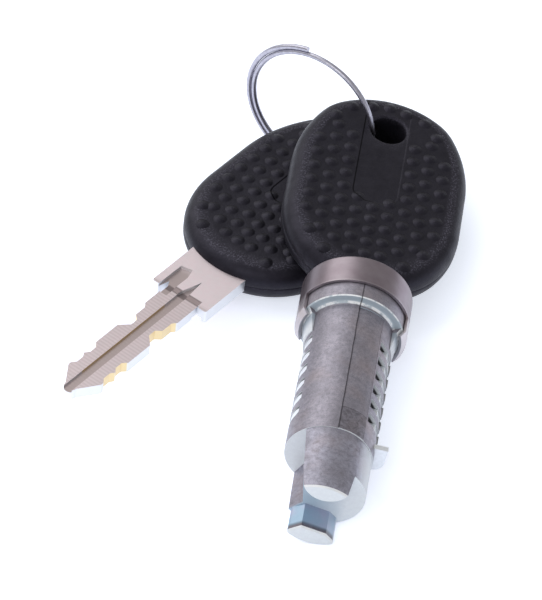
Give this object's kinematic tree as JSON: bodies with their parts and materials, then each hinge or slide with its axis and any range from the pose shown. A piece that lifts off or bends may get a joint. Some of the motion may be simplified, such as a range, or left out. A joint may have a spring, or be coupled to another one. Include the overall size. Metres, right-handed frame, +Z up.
{
  "type": "lock cylinder",
  "caption": "Wafer lock cylinder with one key pushed home, and a second key hanging from it on a wire ring.",
  "frame": {"origin": "on the barrel axis at the outer front plane of the face cap", "axes": "+Z up from the surface it lies on; +Y towards the key heads along the lock, level; +X to the right seen from the tail"},
  "size_m": [0.0706, 0.1152, 0.0317],
  "materials": {
    "zinc_casting": "as die-cast zinc with a pale passivation",
    "nickel_cap": "satin nickel plate over pressed steel",
    "wafer_plate": "stamped brass, plated",
    "spring_steel": "drawn spring steel wire",
    "nickel_silver": "milled nickel silver",
    "black_plastic": "moulded black plastic with raised dots"
  },
  "bodies": {
    "cylinder": {"plug_casting": "zinc_casting", "face_cap": "nickel_cap", "retainer_spring": "spring_steel", "wafer_spring_1": "spring_steel", "wafer_spring_2": "spring_steel", "wafer_spring_3": "spring_steel", "wafer_spring_4": "spring_steel", "wafer_spring_5": "spring_steel", "wafer_spring_6": "spring_steel"},
    "wafer_body_1": {"wafer_1": "wafer_plate"},
    "wafer_body_2": {"wafer_2": "wafer_plate"},
    "wafer_body_3": {"wafer_3": "wafer_plate"},
    "wafer_body_4": {"wafer_4": "wafer_plate"},
    "wafer_body_5": {"wafer_5": "wafer_plate"},
    "wafer_body_6": {"wafer_6": "wafer_plate"},
    "retainer": {"retainer_plate": "wafer_plate"},
    "key": {"key_blade": "nickel_silver", "key_head": "black_plastic"},
    "ring": {"key_ring": "spring_steel"},
    "spare_key": {"spare_key_blade": "nickel_silver", "spare_key_head": "black_plastic"}
  },
  "joints": [
    {"name": "key_slide", "type": "slide", "parent": "cylinder", "child": "key", "axis": [0, 0.9985, 0.0544], "range_m": [0, 0.046]},
    {"name": "wafer_1_slide", "type": "slide", "parent": "cylinder", "child": "wafer_body_1", "axis": [0.9744, 0.0122, -0.2246], "range_m": [-0.001, 0], "stiffness_N_per_m": 300, "springref_m": 0.002, "deforming": ["wafer_spring_1"]},
    {"name": "wafer_2_slide", "type": "slide", "parent": "cylinder", "child": "wafer_body_2", "axis": [0.9744, 0.0122, -0.2246], "range_m": [-0.001, 0], "stiffness_N_per_m": 300, "springref_m": 0.002, "deforming": ["wafer_spring_2"]},
    {"name": "wafer_3_slide", "type": "slide", "parent": "cylinder", "child": "wafer_body_3", "axis": [0.9744, 0.0122, -0.2246], "range_m": [-0.001, 0], "stiffness_N_per_m": 300, "springref_m": 0.002, "deforming": ["wafer_spring_3"]},
    {"name": "wafer_4_slide", "type": "slide", "parent": "cylinder", "child": "wafer_body_4", "axis": [0.9744, 0.0122, -0.2246], "range_m": [-0.001, 0], "stiffness_N_per_m": 300, "springref_m": 0.002, "deforming": ["wafer_spring_4"]},
    {"name": "wafer_5_slide", "type": "slide", "parent": "cylinder", "child": "wafer_body_5", "axis": [0.9744, 0.0122, -0.2246], "range_m": [-0.001, 0], "stiffness_N_per_m": 300, "springref_m": 0.002, "deforming": ["wafer_spring_5"]},
    {"name": "wafer_6_slide", "type": "slide", "parent": "cylinder", "child": "wafer_body_6", "axis": [0.9744, 0.0122, -0.2246], "range_m": [-0.001, 0], "stiffness_N_per_m": 300, "springref_m": 0.002, "deforming": ["wafer_spring_6"]},
    {"name": "retainer_slide", "type": "slide", "parent": "cylinder", "child": "retainer", "axis": [0.9744, 0.0122, -0.2246], "range_m": [-0.0028, 0], "stiffness_N_per_m": 400, "springref_m": 0.002, "deforming": ["retainer_spring"]},
    {"name": "ring_hinge", "type": "hinge", "parent": "key", "child": "ring", "pos_m": [0, 0.04413, 0.0024], "axis": [0.225, -0.053, 0.9729], "range_deg": [-60, 0]},
    {"name": "spare_key_hinge", "type": "hinge", "parent": "ring", "child": "spare_key", "pos_m": [-0.00787, 0.04554, -0.00578], "axis": [0.119, -0.0263, 0.9925], "range_deg": [-12, 10]}
  ]
}
